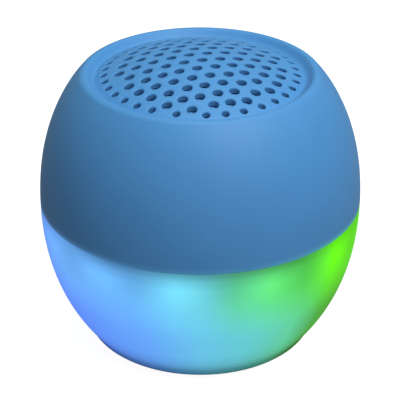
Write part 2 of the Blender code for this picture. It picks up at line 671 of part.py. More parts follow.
def outward(angle):
    return (math.cos(angle), math.sin(angle), 0)


def radial_point(radius, angle, z):
    return Vector((*polar(radius, angle), z))


def button_cap():
    """A cap standing on the XZ plane of its own frame: its axis is +X, which points out.

    The face follows the body, a little proud of it. Behind are the retaining flange and the
    stem that pushes the switch.
    """
    sides = 16
    face_rings = [(0.35, BUTTON_PROUD + 0.22 * MM), (0.75, BUTTON_PROUD + 0.12 * MM),
                  (0.93, BUTTON_PROUD), (1.0, BUTTON_PROUD - 0.35 * MM)]
    flange_radius, flange_front, flange_back = 3.7 * MM, 30.0 * MM, 29.3 * MM
    stem_radius, stem_end = 1.2 * MM, 27.3 * MM
    bm = bmesh.new()
    rings = []
    for share, proud in face_rings:
        ring = []
        for side in range(sides):
            across, up = polar(BUTTON_RADIUS * share, math.tau * side / sides)
            depth = math.sqrt(body_radius(BUTTON_Z + up) ** 2 - across ** 2) + proud
            ring.append(bm.verts.new((depth, across, up)))
        rings.append(ring)
    for radius, depth in ((BUTTON_RADIUS, flange_front), (flange_radius, flange_front),
                          (flange_radius, flange_back), (stem_radius, flange_back),
                          (stem_radius, stem_end)):
        rings.append([bm.verts.new((depth, *polar(radius, math.tau * side / sides)))
                      for side in range(sides)])
    for one, two in zip(rings, rings[1:]):
        for side in range(sides):
            following = (side + 1) % sides
            bm.faces.new((one[side], one[following], two[following], two[side]))
    bm.faces.new(rings[0])
    bm.faces.new(rings[-1])
    return bm


def make_buttons():
    """Three caps, each with the side-push switch and plunger behind it.

    The parent empty of a cap and its plunger lies on the button's axis and points along it.
    """
    plunger_radius, plunger_front, plunger_back = 1.0 * MM, 27.0 * MM, 24.3 * MM
    body_front, body_depth, bore_back = 25.6 * MM, 3.6 * MM, 23.5 * MM
    body_width, body_height = 6.2 * MM, 6.2 * MM
    for name, angle in zip(BUTTON_NAMES, BUTTON_ANGLES):
        axis = bpy.data.objects.new(f"axis_{name}", None)
        bpy.context.scene.collection.objects.link(axis)
        axis.location = (0, 0, BUTTON_Z)
        axis.rotation_euler.z = angle
        cap = add_object(f"button_{name}", button_cap(), SOFT_BLUE)
        plunger = rod(plunger_radius, 0, plunger_front - plunger_back, (0, 0))
        lay_along(plunger, (1, 0, 0), (plunger_back, 0, 0))
        pusher = add_object(f"switch_plunger_{name}", plunger, BLACK)
        housing = rounded_box((body_depth, body_width, body_height),
                              (body_front - body_depth / 2, 0,
                               BOARD_HIGH + GAP + body_height / 2 - BUTTON_Z), 0.3 * MM, 1)
        switch = add_object(f"switch_{name}", housing, BLACK)
        bore = lay_along(rod(plunger_radius + GAP, 0, 5 * MM, (0, 0)), (1, 0, 0),
                         (bore_back, 0, 0))
        cut(switch, "DIFFERENCE", f"switch_bore_{name}", bore)
        bpy.data.objects[f"switch_bore_{name}"].parent = axis
        for piece in (cap, pusher, switch):
            piece.parent = axis


def make_port_flap():
    """Silicone flap over the charging socket, with its origin on its hinge line."""
    flap = add_object("port_flap", back_pad(FLAP_HALF_WIDTH, FLAP_HALF_HEIGHT, FLAP_CORNER,
                                            0, -FLAP_THICK), DARK_RUBBER)
    plug = rounded_box((7.6 * MM, 2.2 * MM, 1.6 * MM), (0, 0, 0), 0.8 * MM)
    plug.transform(Matrix.Translation((0, 33.4 * MM, PORT_Z)) @ Matrix.Rotation(math.pi / 2, 4, "X"))
    hinge = Vector((HINGE_X, HINGE_Y, PORT_Z))
    cut(flap, "UNION", "flap_plug", plug)
    flap.data.transform(Matrix.Translation(-hinge))
    flap.location = hinge


# ---------------------------------------------------------------- fasteners

def make_screw(name, place, head_low, head_height, length, upwards=True):
    """Pan-head screw: the shank runs up from the head, or down from it."""
    tip = head_height + length
    bm = turned([(0, 0), (0.8 * HEAD, 0), (HEAD, 0.4 * head_height), (HEAD, head_height),
                 (SHANK, head_height), (SHANK, tip), (0, tip)], 8)
    if not upwards:
        bm.transform(Matrix.Rotation(math.pi, 4, "X"))
    screw = add_object(name, bm, STEEL)
    screw.location = (*place, head_low)


def make_screws():
    for number, angle in enumerate(EAR_ANGLES, 1):
        make_screw(f"driver_screw_{number}", polar(EAR_RING, angle), 53.8 * MM, 1.2 * MM, 4.5 * MM)
    for number, angle in enumerate(POST_ANGLES, 1):
        make_screw(f"frame_screw_{number}", polar(POST_RING, angle), 32.1 * MM, 1.2 * MM, 8.5 * MM)
    for number, place in enumerate(BASE_SCREWS, 1):
        make_screw(f"base_screw_{number}", place, 1.6 * MM, 1.0 * MM, 6.8 * MM)
    for number, place in enumerate(BOARD_SCREWS, 1):
        make_screw(f"board_screw_{number}", place, BOARD_HIGH + GAP + 1.0 * MM, 1.0 * MM, 4.0 * MM,
                   upwards=False)


def main():
    clear_scene()
    make_top_shell()
    make_grille()
    make_dust_screen()
    make_light_diffuser()
    make_base()
    make_chassis()
    make_driver_frame()
    make_driver_soft_parts()
    make_driver_magnet()
    make_main_board()
    make_board_parts()
    make_usb_connector()
    make_battery()
    make_leads()
    make_lights()
    make_buttons()
    make_port_flap()
    make_screws()


main()
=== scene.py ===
"""Looks of the mini Bluetooth speaker: soft-touch blue shell, perforated dome, lit milky bowl."""

import json
import math

import bmesh
import bpy
from mathutils import Matrix, Vector
from mathutils.geometry import delaunay_2d_cdt


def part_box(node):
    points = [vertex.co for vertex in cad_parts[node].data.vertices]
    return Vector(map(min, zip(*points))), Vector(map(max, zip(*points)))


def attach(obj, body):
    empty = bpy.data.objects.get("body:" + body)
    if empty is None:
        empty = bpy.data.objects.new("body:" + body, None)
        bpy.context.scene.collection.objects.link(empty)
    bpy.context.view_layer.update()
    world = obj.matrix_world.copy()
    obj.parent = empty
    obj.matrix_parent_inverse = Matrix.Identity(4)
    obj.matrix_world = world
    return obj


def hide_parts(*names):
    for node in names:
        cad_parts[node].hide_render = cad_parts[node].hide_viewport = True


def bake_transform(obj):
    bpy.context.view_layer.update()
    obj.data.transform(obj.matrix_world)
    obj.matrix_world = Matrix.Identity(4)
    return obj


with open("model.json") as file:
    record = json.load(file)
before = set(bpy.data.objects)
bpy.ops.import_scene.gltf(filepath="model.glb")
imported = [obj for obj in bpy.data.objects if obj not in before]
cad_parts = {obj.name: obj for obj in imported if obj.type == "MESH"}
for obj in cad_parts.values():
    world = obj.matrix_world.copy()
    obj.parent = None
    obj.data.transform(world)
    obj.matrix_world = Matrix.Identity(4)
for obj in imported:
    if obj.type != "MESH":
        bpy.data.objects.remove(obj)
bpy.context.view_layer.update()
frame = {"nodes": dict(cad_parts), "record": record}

MM = 0.001

# ---------------------------------------------------------------- sizes, from the frame

shell_low, shell_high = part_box("top_shell")
bowl_low, bowl_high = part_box("light_diffuser")
grille_low, grille_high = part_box("speaker_grille")

BODY_RADIUS = shell_high.x
LIP_GAP = 0.15 * MM
SEAM_Z = shell_low.z + LIP_GAP
UPPER_HEIGHT, UPPER_POWER = 40.4 * MM, 2.164
LOWER_HEIGHT, LOWER_POWER = 41.5 * MM, 2.11
WALL = 2.0 * MM

RIM_BEAD = 2.0 * MM
RIM_RING, RIM_Z = 24.35 * MM, 60.9 * MM
RIM_LEAVES_AT = math.radians(41)
ROOF_Z = 60.0 * MM
VALLEY_Z = 61.42 * MM             # bottom of the soft groove between dome and bead

DOME_TOP, DOME_FALL = 66.27 * MM, 9.5
GRILLE_WALL = 1.2 * MM
GRILLE_EDGE, GRILLE_SKIRT, GRILLE_FLANGE = 22.05 * MM, 21.6 * MM, grille_high.x
HOLE_PITCH, HOLE_RADIUS = 3.91 * MM, 1.06 * MM
EDGE_HOLE_RING, EDGE_HOLE_RADIUS = 20.45 * MM, 0.78 * MM
HOLE_FIELD = 19.4 * MM            # lattice points beyond this move to the edge ring
HOLE_REACH = 22.975 * MM          # and those beyond this are left out
HOLE_SPACINGS = (3.6 * MM, 3.3 * MM, 4.0 * MM)  # least: in the field, field to ring, on the ring
SPACING_ROUNDS = 40
LATTICE_TURN = math.radians(14.6)
LATTICE_SHIFT = (-0.2 * MM, 0.7 * MM)

BUTTON_Z, BUTTON_RADIUS, BUTTON_PROUD = 45.4 * MM, 3.0 * MM, 0.7 * MM
BACK = math.pi / 2
BUTTONS = {"minus": BACK - math.radians(19), "play": BACK, "plus": BACK + math.radians(19)}
MIC_ANGLE, MIC_Z, MIC_RADIUS = math.radians(131), 44.5 * MM, 0.6 * MM
PORT_Z, FLAP_HALF_WIDTH, FLAP_HALF_HEIGHT, FLAP_CORNER = 38.2 * MM, 6.0 * MM, 2.5 * MM, 2.2 * MM
CLEARANCE = 0.3 * MM

LED_COUNT = 12
LED_FIRST = math.radians(-6.3)    # azimuth of the LED nearest the front, from -Y towards +X


# ---------------------------------------------------------------- colour and node helpers

def linear(red, green, blue):
    """A colour given on the 0-255 display scale, in scene-linear values."""
    def one(value):
        value /= 255
        return value / 12.92 if value <= 0.04045 else ((value + 0.055) / 1.055) ** 2.4
    return (one(red), one(green), one(blue), 1.0)


class Tree:
    """A material's node tree, with short calls for the nodes that the finishes use."""

    def __init__(self, name):
        self.material = bpy.data.materials.new(name)
        self.material.use_nodes = True
        self.tree = self.material.node_tree
        self.shader = self.tree.nodes["Principled BSDF"]
        self.place = self.add("ShaderNodeTexCoord").outputs["Object"]

    def add(self, kind, **settings):
        node = self.tree.nodes.new(kind)
        for name, value in settings.items():
            setattr(node, name, value)
        return node

    def link(self, source, target):
        if hasattr(source, "links"):
            self.tree.links.new(source, target)
        else:
            target.default_value = source

    def set(self, **values):
        """Set inputs of the surface shader, named in lower case with underscores."""
        for name, value in values.items():
            title = name.replace("_", " ").title().replace("Ior", "IOR")
            self.link(value, self.shader.inputs[title])

    def maths(self, operation, *values, clamp=False):
        node = self.add("ShaderNodeMath", operation=operation, use_clamp=clamp)
        for value, target in zip(values, node.inputs):
            self.link(value, target)
        return node.outputs[0]

    def noise(self, scale, detail=2.0, roughness=0.5, vector=None):
        node = self.add("ShaderNodeTexNoise")
        node.inputs["Scale"].default_value = scale
        node.inputs["Detail"].default_value = detail
        node.inputs["Roughness"].default_value = roughness
        self.link(vector or self.place, node.inputs["Vector"])
        return node.outputs["Fac"]

    def spread(self, value, low, high, to_low, to_high, smooth=False):
        node = self.add("ShaderNodeMapRange")
        if smooth:
            node.interpolation_type = "SMOOTHSTEP"
        for source, target in zip((value, low, high, to_low, to_high), node.inputs):
            self.link(source, target)
        return node.outputs[0]

    def ramp(self, value, stops):
        """A colour ramp: stops are (place, colour)."""
        node = self.add("ShaderNodeValToRGB")
        band = node.color_ramp
        band.interpolation = "LINEAR"
        while len(band.elements) < len(stops):
            band.elements.new(0.5)
        for element, (place, color) in zip(band.elements, stops):
            element.position = place
            element.color = color
        self.link(value, node.inputs["Fac"])
        return node.outputs["Color"]

    def mix(self, share, one, two, blend="MIX"):
        node = self.add("ShaderNodeMix", data_type="RGBA", blend_type=blend)
        for source, target in zip((share, one, two), (node.inputs[0], node.inputs[6],
                                                      node.inputs[7])):
            self.link(source, target)
        return node.outputs[2]

    def bump(self, height, distance, strength=1.0, normal=None):
        node = self.add("ShaderNodeBump")
        node.inputs["Strength"].default_value = strength
        node.inputs["Distance"].default_value = distance
        self.link(height, node.inputs["Height"])
        if normal:
            self.link(normal, node.inputs["Normal"])
        return node.outputs["Normal"]

    def parts(self):
        """The x, y and z of the object's own coordinates."""
        node = self.add("ShaderNodeSeparateXYZ")
        self.link(self.place, node.inputs[0])
        return node.outputs


def grey(value):
    return (value, value, value, 1.0)


# ---------------------------------------------------------------- light of the bowl

def led_light(tree):
    """Colour of the light inside the bowl: blue on the left through cyan to green on the right.

    Close under the seam each LED's own colour shows. Further down the colours blend.
    """
    x, y, z = tree.parts()
    radius = tree.maths("SQRT", tree.maths("ADD", tree.maths("MULTIPLY", x, x),
                                           tree.maths("MULTIPLY", y, y)))
    across = tree.maths("DIVIDE", x, tree.maths("MAXIMUM", radius, 1e-5))
    share = tree.spread(across, -1.0, 1.0, 0.0, 1.0)
    near = tree.ramp(share, [
        (0.00, linear(100, 150, 245)), (0.09, linear(110, 180, 255)),
        (0.30, linear(110, 188, 255)), (0.42, linear(117, 220, 252)),
        (0.52, linear(110, 212, 224)), (0.60, linear(99, 216, 162)),
        (0.71, linear(99, 230, 124)), (0.81, linear(88, 216, 88)),
        (0.90, linear(102, 246, 0)), (1.00, linear(90, 216, 0))])
    far = tree.ramp(share, [
        (0.00, linear(92, 134, 244)), (0.12, linear(98, 148, 254)),
        (0.33, linear(104, 170, 255)), (0.50, linear(106, 198, 236)),
        (0.67, linear(102, 205, 210)), (0.80, linear(98, 208, 158)),
        (0.89, linear(74, 170, 66)), (0.94, linear(72, 162, 26)),
        (1.00, linear(76, 168, 8))])
    return tree.mix(tree.spread(z, 13.5 * MM, 29 * MM, 0.0, 1.0, smooth=True), far, near)


def led_pools(tree):
    """Soft pools in front of the LEDs: 0.5 at a pool's middle, -0.5 between, 0 below."""
    x, y, z = tree.parts()
    azimuth = tree.maths("ARCTAN2", x, tree.maths("MULTIPLY", y, -1.0))
    turn = tree.maths("MULTIPLY", tree.maths("SUBTRACT", azimuth, LED_FIRST), float(LED_COUNT))
    round_it = tree.spread(tree.maths("COSINE", turn), -1.0, 1.0, 0.0, 1.0)
    up = tree.maths("DIVIDE", tree.maths("SUBTRACT", z, 29.8 * MM), 3.8 * MM)
    fade = tree.maths("POWER", math.e, tree.maths("MULTIPLY", tree.maths("MULTIPLY", up, up), -1.0))
    swing = tree.maths("SUBTRACT", round_it, 0.5)
    return tree.maths("MULTIPLY", swing, fade)


# ---------------------------------------------------------------- finishes

def soft_touch(name, color, grain=2600.0, painted_seam_glow=False):
    """Rubber-like coat on moulded plastic: even colour, very fine grain, soft gloss, and optionally
    a painted glow along the seam.
    """
    tree = Tree(name)
    cloud = tree.noise(70.0, 3.0)
    deep = tuple(channel * 0.93 for channel in color[:3]) + (1.0,)
    lit = tuple(min(channel * 1.05, 1.0) for channel in color[:3]) + (1.0,)
    fine = tree.noise(grain, 2.0, 0.6)
    tree.set(base_color=tree.mix(cloud, deep, lit),
             roughness=tree.spread(fine, 0.25, 0.75, 0.46, 0.58))
    tree.shader.inputs["Specular IOR Level"].default_value = 0.30
    tree.shader.inputs["Sheen Weight"].default_value = 0.04
    tree.shader.inputs["Sheen Roughness"].default_value = 0.4
    tree.link(tree.bump(fine, 0.012 * MM, 0.5), tree.shader.inputs["Normal"])
    # Painted light: the shell gives no light, yet just above the seam it glows in the LEDs'
    # colours, more towards both sides, as if the bowl's light spilled onto it.
    if painted_seam_glow:
        x, y, z = tree.parts()
        edge = tree.spread(z, SEAM_Z, SEAM_Z + 2.6 * MM, 1.0, 0.0)
        edge = tree.maths("MULTIPLY", edge, edge)
        edge = tree.maths("MULTIPLY", edge, edge)
        tree.link(led_light(tree), tree.shader.inputs["Emission Color"])
        amount = tree.spread(tree.maths("ABSOLUTE", x), 12 * MM, 30 * MM, 0.14, 0.36)
        tree.link(tree.maths("MULTIPLY", edge, amount), tree.shader.inputs["Emission Strength"])
    return tree.material


def milky_light(name):
    """Translucent bowl with LEDs behind it: it glows in their colours and has a satin skin.

    Towards both sides the light reaches right up to the seam, in front a darker band stays.
    """
    tree = Tree(name)
    x, y, z = tree.parts()
    flank = tree.spread(tree.maths("ABSOLUTE", x), 19 * MM, 29 * MM, 0.0, 0.62)
    flank = tree.maths("MULTIPLY", flank, tree.spread(z, 27 * MM, 30 * MM, 0.0, 1.0))
    light = led_light(tree)
    level = tree.ramp(tree.spread(z, 0.0, SEAM_Z, 0.0, 1.0), [
        (0.05, grey(0.07)), (0.11, grey(0.34)), (0.16, grey(0.58)), (0.21, grey(0.76)),
        (0.30, grey(0.90)), (0.60, grey(0.98)), (0.88, grey(0.92)), (0.945, grey(0.72)),
        (0.975, grey(0.52)), (1.0, grey(0.36))])
    level = tree.maths("ADD", tree.maths("MULTIPLY", level, tree.maths("SUBTRACT", 1.0, flank)),
                       flank)
    pools = led_pools(tree)
    level = tree.maths("MULTIPLY", level, tree.spread(pools, -0.5, 0.5, 0.86, 1.13))
    mottle = tree.spread(tree.noise(120.0, 2.0), 0.0, 1.0, 0.97, 1.03)
    tree.link(light, tree.shader.inputs["Emission Color"])
    tree.link(tree.maths("MULTIPLY", level, mottle), tree.shader.inputs["Emission Strength"])
    # Painted light: the base colour is the LEDs' light colour at 12 %, not the milky plastic's own
    # colour, so even studio light reflects in their tint.
    tree.link(tree.mix(1.0, light, grey(0.12), "MULTIPLY"), tree.shader.inputs["Base Color"])
    skin = tree.noise(1500.0, 2.0)
    tree.set(roughness=tree.spread(skin, 0.2, 0.8, 0.40, 0.48))
    tree.shader.inputs["Specular IOR Level"].default_value = 0.14
    tree.link(tree.bump(skin, 0.006 * MM, 0.5), tree.shader.inputs["Normal"])
    return tree.material


def moulded(name, color, roughness=0.5, grain=1800.0):
    """Injection-moulded plastic or resin with a spark-eroded grain."""
    tree = Tree(name)
    grain_value = tree.noise(grain, 3.0, 0.6)
    dark = tuple(channel * 0.85 for channel in color[:3]) + (1.0,)
    tree.set(base_color=tree.mix(tree.noise(160.0, 2.0), dark, color),
             roughness=tree.spread(grain_value, 0.2, 0.8, roughness - 0.07, roughness + 0.07))
    tree.link(tree.bump(grain_value, 0.015 * MM, 0.6), tree.shader.inputs["Normal"])
    return tree.material


def rubbery(name, color):
    tree = Tree(name)
    pores = tree.noise(2400.0, 3.0, 0.65)
    dusty = tuple(min(channel * 1.5 + 0.01, 1.0) for channel in color[:3]) + (1.0,)
    tree.set(base_color=tree.mix(tree.spread(tree.noise(240.0, 4.0), 0.45, 0.8, 0.0, 1.0),
                                 color, dusty),
             roughness=tree.spread(pores, 0.2, 0.8, 0.68, 0.84))
    tree.link(tree.bump(pores, 0.02 * MM, 0.7), tree.shader.inputs["Normal"])
    return tree.material


def metal(name, color, roughness=0.3, stretch=(1.0, 1.0, 14.0), metallic=1.0):
    """Drawn or plated metal: fine streaks along one direction."""
    tree = Tree(name)
    scaled = tree.add("ShaderNodeMapping")
    scaled.inputs["Scale"].default_value = stretch
    tree.link(tree.place, scaled.inputs["Vector"])
    streaks = tree.noise(420.0, 4.0, 0.6, scaled.outputs[0])
    dull = tuple(channel * 0.8 for channel in color[:3]) + (1.0,)
    tree.set(base_color=tree.mix(streaks, dull, color),
             roughness=tree.spread(streaks, 0.2, 0.8, roughness - 0.08, roughness + 0.12),
             metallic=metallic)
    tree.link(tree.bump(streaks, 0.004 * MM, 0.5), tree.shader.inputs["Normal"])
    return tree.material


def woven(name, color, thread=0.25 * MM, roughness=0.9):
    """Plain weave: two crossed waves, one thread over and one under, with painted shade where a
    thread dips under.
    """
    tree = Tree(name)
    x, y, z = tree.parts()
    pitch = math.pi / thread
    warp = tree.maths("SINE", tree.maths("MULTIPLY", x, pitch))
    weft = tree.maths("SINE", tree.maths("MULTIPLY", y, pitch))
    weave = tree.spread(tree.maths("MULTIPLY", warp, weft), -1.0, 1.0, 0.0, 1.0)
    # Painted shade: where a thread dips under the other, its colour falls to 0.45 of its own.
    dark = tuple(channel * 0.45 for channel in color[:3]) + (1.0,)
    tree.set(base_color=tree.mix(weave, dark, color), roughness=roughness)
    tree.link(tree.bump(weave, 0.05 * MM, 0.8), tree.shader.inputs["Normal"])
    return tree.material


def circuit_board(name):
    """Green solder mask with copper tracks showing as slightly lighter lines."""
    tree = Tree(name)
    x, y, z = tree.parts()
    tracks = tree.add("ShaderNodeTexBrick")
    tracks.inputs["Scale"].default_value = 420.0
    tracks.inputs["Mortar Size"].default_value = 0.05
    tracks.inputs["Color1"].default_value = (0.012, 0.10, 0.07, 1)
    tracks.inputs["Color2"].default_value = (0.010, 0.085, 0.06, 1)
    tracks.inputs["Mortar"].default_value = (0.03, 0.22, 0.13, 1)
    tree.link(tree.place, tracks.inputs["Vector"])
    tree.set(base_color=tracks.outputs["Color"],
             roughness=tree.spread(tree.noise(900.0), 0.2, 0.8, 0.3, 0.45))
    tree.link(tree.bump(tracks.outputs["Fac"], 0.02 * MM, 0.5), tree.shader.inputs["Normal"])
    return tree.material


BLUE = (0.068, 0.255, 0.565, 1.0)
FINISHES = {
    "soft_shell": soft_touch("soft_touch_blue", BLUE),
    "blue_rubber": rubbery("blue_silicone", (0.06, 0.20, 0.45, 1.0)),
    "milky_diffuser": milky_light("lit_milky_plastic"),
    "white_plastic": moulded("white_plastic", (0.82, 0.83, 0.83, 1.0)),
    "black_plastic": moulded("black_plastic", (0.028, 0.028, 0.032, 1.0)),
    "dark_rubber": rubbery("dark_rubber", (0.022, 0.024, 0.03, 1.0)),
    "screen_cloth": woven("screen_cloth", (0.16, 0.48, 0.90, 1.0)),
    "foam": rubbery("grey_foam", (0.09, 0.09, 0.1, 1.0)),
    "paper": moulded("pressed_paper", (0.045, 0.045, 0.05, 1.0), 0.85, 900.0),
    "woven_spider": woven("resin_weave", (0.62, 0.40, 0.15, 1.0), 0.4 * MM, 0.8),
    "coil_copper": metal("coil_wire", (0.72, 0.36, 0.18, 1.0), 0.35, (1.0, 1.0, 60.0)),
    "plated_steel": metal("plated_steel", (0.66, 0.67, 0.70, 1.0)),
    "ferrite": moulded("ferrite", (0.06, 0.06, 0.065, 1.0), 0.65, 1200.0),
    "circuit_board": circuit_board("circuit_board"),
    "chip_resin": moulded("chip_resin", (0.022, 0.022, 0.026, 1.0), 0.45, 2600.0),
    "led_resin": moulded("led_resin", (0.86, 0.86, 0.74, 1.0), 0.25, 800.0),
    "battery_wrap": metal("battery_wrap", (0.60, 0.62, 0.66, 1.0), 0.4, (6.0, 1.0, 1.0), 0.8),
    "wire_sleeve": moulded("wire_sleeve", (0.42, 0.035, 0.025, 1.0), 0.4, 2000.0),
}
# The shell's finish carries the painted glow along the seam.
SHELL_FINISH = soft_touch("soft_touch_blue_shell", BLUE, painted_seam_glow=True)
# Painted shade: the holes' walls get a darker copy of the shell's blue, standing in for the shade
# deep inside the holes.
HOLE_SHADE_FINISH = moulded("hole_wall_painted_shade", (0.044, 0.175, 0.40, 1.0), 0.6, 2600.0)
MARK_FINISH = moulded("pale_mark", (0.48, 0.66, 0.86, 1.0), 0.5, 2400.0)


# ---------------------------------------------------------------- mesh helpers

def new_piece(name, bm, finish, body="housing", sharp=32):
    """Turn a bmesh into a smooth-shaded piece that rides on a body."""
    bmesh.ops.recalc_face_normals(bm, faces=bm.faces)
    if bm.calc_volume(signed=True) < 0:
        bmesh.ops.reverse_faces(bm, faces=bm.faces)
    mesh = bpy.data.meshes.new(name)
    bm.to_mesh(mesh)
    bm.free()
    mesh.shade_smooth()
    mesh.set_sharp_from_angle(angle=math.radians(sharp))
    piece = bpy.data.objects.new(name, mesh)
    bpy.context.scene.collection.objects.link(piece)
    mesh.materials.append(finish)
    if body:
        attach(piece, body)
    return piece


def bridge(bm, one, two):
    """Join two closed loops of as many vertices with quads."""
    for step in range(len(one)):
        following = (step + 1) % len(one)
        bm.faces.new((one[step], one[following], two[following], two[step]))


def turned(profile, segments):
    """Spin a closed outline of (radius, z) points round the vertical axis."""
    bm = bmesh.new()
    loops = []
    for radius, z in profile:
        loops.append([bm.verts.new((radius * math.cos(math.tau * step / segments),
                                    radius * math.sin(math.tau * step / segments), z))
                      for step in range(segments)])
    for one, two in zip(loops, loops[1:] + loops[:1]):
        bridge(bm, one, two)
    return bm


def polar(radius, angle):
    return (radius * math.cos(angle), radius * math.sin(angle))


def arc(centre, radius, start, end, steps):
    return [(centre[0] + radius * math.cos(start + (end - start) * step / steps),
             centre[1] + radius * math.sin(start + (end - start) * step / steps))
            for step in range(steps + 1)]


# ---------------------------------------------------------------- body outline

def body_radius(z):
    height, power = (UPPER_HEIGHT, UPPER_POWER) if z > SEAM_Z else (LOWER_HEIGHT, LOWER_POWER)
    rise = min(abs(z - SEAM_Z) / height, 1.0)
    return BODY_RADIUS * (1 - rise ** power) ** (1 / power)


def inside_body(z, depth):
    step = 0.05 * MM
    slope = (body_radius(z + step) - body_radius(z - step)) / (2 * step)
    length = math.hypot(1, slope)
    return (body_radius(z) - depth / length, z + depth * slope / length)


def heights(start, end, count):
    return [start + (end - start) * step / (count - 1) for step in range(count)]


def on_back(angle, across, z, offset):
    """A point on the shell round a control's axis, at an offset from the surface."""
    depth = math.sqrt(body_radius(z) ** 2 - across ** 2) + offset
    return Vector((depth * math.cos(angle) - across * math.sin(angle),
                   depth * math.sin(angle) + across * math.cos(angle), z))


def rounded_loop(half_width, half_height, corner, steps=8, along=0):
    """Points round a rectangle with round corners, with some more along its two long sides."""
    points = []
    for turn, (side, end) in enumerate([(1, 1), (-1, 1), (-1, -1), (1, -1)]):
        centre = (side * (half_width - corner), end * (half_height - corner))
        points += arc(centre, corner, turn * math.pi / 2, (turn + 1) * math.pi / 2, steps)
        if turn % 2 == 0:
            for step in range(1, along + 1):
                shift = 2 * (half_width - corner) * step / (along + 1)
                points.append((centre[0] - side * shift, end * half_height))
    return points


def surface_solid(loops, angle, centre_z, strip=False):
    """A closed solid of loops that follow the shell: each is (points, offset, follow).

    Where follow is False the offset is a distance from the body's axis and the loop is flat.
    With strip the ends are closed by bands across the loop, otherwise by a fan.
    """
    bm = bmesh.new()
    made = []
    for points, offset, follow in loops:
        ring = []
        for across, up in points:
            if follow:
                place = on_back(angle, across, centre_z + up, offset)
            else:
                place = Vector((offset * math.cos(angle) - across * math.sin(angle),
                                offset * math.sin(angle) + across * math.cos(angle),
                                centre_z + up))
            ring.append(bm.verts.new(place))
        made.append(ring)
    for one, two in zip(made, made[1:]):
        bridge(bm, one, two)
    for ring in (made[0], made[-1]):
        if strip:
            for step in range(len(ring) // 2 - 1):
                bm.faces.new((ring[step], ring[step + 1], ring[-2 - step], ring[-1 - step]))
            continue
        middle = bm.verts.new(sum((vert.co for vert in ring), Vector()) / len(ring))
        for step in range(len(ring)):
            bm.faces.new((ring[step], ring[(step + 1) % len(ring)], middle))
    return bm


def circle(radius, sides=48):
    return [polar(radius, math.tau * side / sides) for side in range(sides)]


# ---------------------------------------------------------------- shell

def shell_profile():
    flank_start = RIM_RING - RIM_BEAD
    flank = []
    for step in range(14):
        share = step / 14
        rise = share * share * (3 - 2 * share)
        flank.append((flank_start + RIM_BEAD * share,
                      VALLEY_Z + (RIM_Z + RIM_BEAD - VALLEY_Z) * rise))
    bead = flank + arc((RIM_RING, RIM_Z), RIM_BEAD, math.pi / 2, RIM_LEAVES_AT, 12)
    leave_radius, leave_z = bead[-1]
    step_out = leave_radius - body_radius(leave_z)
    fade = 4 * MM
    edge = 0.35 * MM
    outer = []
    for z in heights(leave_z - 0.4 * MM, shell_low.z + edge, 60):
        blend = max(1 - (leave_z - z) / fade, 0) ** 2
        outer.append((body_radius(z) + step_out * blend, z))
    foot = outer[-1][0]
    lip = arc((foot - edge, shell_low.z + edge), edge, 0, -math.pi / 2, 6)[1:]
    rebate_radius, rebate_z = 34.0 * MM, 35.1 * MM
    landing_z, bore = 56.6 * MM, 24.2 * MM
    inner = [inside_body(z, WALL) for z in heights(rebate_z, landing_z + 0.9 * MM, 24)]
    landing_edge = inner[-1][0]
    return ([(bead[0][0], ROOF_Z)] + bead + outer + lip
            + [(rebate_radius, shell_low.z), (rebate_radius, rebate_z)] + inner[:-1]
            + [(landing_edge, landing_z), (bore, landing_z), (bore, ROOF_Z)])


def window_cutter(outline, angle, centre_z, depth, strip=False):
    """A cutter whose mouth flares into the surface, so the window's edge comes out rounded."""
    mouth = [(0.45 * MM, 1.2 * MM), (0.26 * MM, 0.02 * MM), (0.16 * MM, -0.03 * MM),
             (0.07 * MM, -0.11 * MM), (0.0, -0.28 * MM), (0.0, -depth)]
    loops = [(outline(wider), offset, True) for wider, offset in mouth]
    return surface_solid(loops, angle, centre_z, strip)


def cut_away(piece, cutters):
    for name, bm in cutters:
        tool = new_piece(name, bm, FINISHES["soft_shell"], body=None)
        boolean = piece.modifiers.new(name, "BOOLEAN")
        boolean.operation = "DIFFERENCE"
        boolean.solver = "EXACT"
        boolean.object = tool
        bpy.context.view_layer.objects.active = piece
        with bpy.context.temp_override(object=piece, active_object=piece):
            bpy.ops.object.modifier_apply(modifier=name)
        bpy.data.objects.remove(tool, do_unlink=True)


def make_shell():
    shell = new_piece("soft_touch_shell", turned(shell_profile(), 240), SHELL_FINISH)
    cutters = []
    for name, angle in BUTTONS.items():
        cutters.append((f"window_{name}", window_cutter(
            lambda by: circle(BUTTON_RADIUS + CLEARANCE + by), angle, BUTTON_Z, 4 * MM)))
    cutters.append(("pin_hole", window_cutter(
        lambda by: circle(MIC_RADIUS + 0.5 * by, 24), MIC_ANGLE, MIC_Z, 4 * MM)))
    pocket = window_cutter(
        lambda by: rounded_loop(FLAP_HALF_WIDTH + CLEARANCE + by,
                                FLAP_HALF_HEIGHT + CLEARANCE + by,
                                FLAP_CORNER + CLEARANCE + by, along=11),
        BACK, PORT_Z, 1.5 * MM, True)
    cutters.append(("flap_pocket", pocket))
    slot = surface_solid([(rounded_loop(4.8 * MM, 1.9 * MM, 1.7 * MM), radius, False)
                          for radius in (34.4 * MM, 29 * MM)], BACK, PORT_Z)
    cutters.append(("socket_slot", slot))
    cut_away(shell, cutters)
    shell.data.set_sharp_from_angle(angle=math.radians(32))
    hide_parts("top_shell")


def make_port_bezel():
    """Thickening behind the charging socket's slot, seen when the flap is open."""
    outside = rounded_loop(7.4 * MM, 2.9 * MM, 2.0 * MM)
    inside = rounded_loop(4.8 * MM, 1.9 * MM, 1.7 * MM)
    bm = bmesh.new()
    front, back = 33.1 * MM, 31.6 * MM
    loops = []
    for points, depth in ((outside, front), (inside, front), (inside, back), (outside, back)):
        loops.append([bm.verts.new((-across, depth, PORT_Z + up)) for across, up in points])
    for one, two in zip(loops, loops[1:] + loops[:1]):
        bridge(bm, one, two)
    bezel = new_piece("socket_bezel", bm, FINISHES["black_plastic"])


# ---------------------------------------------------------------- grille

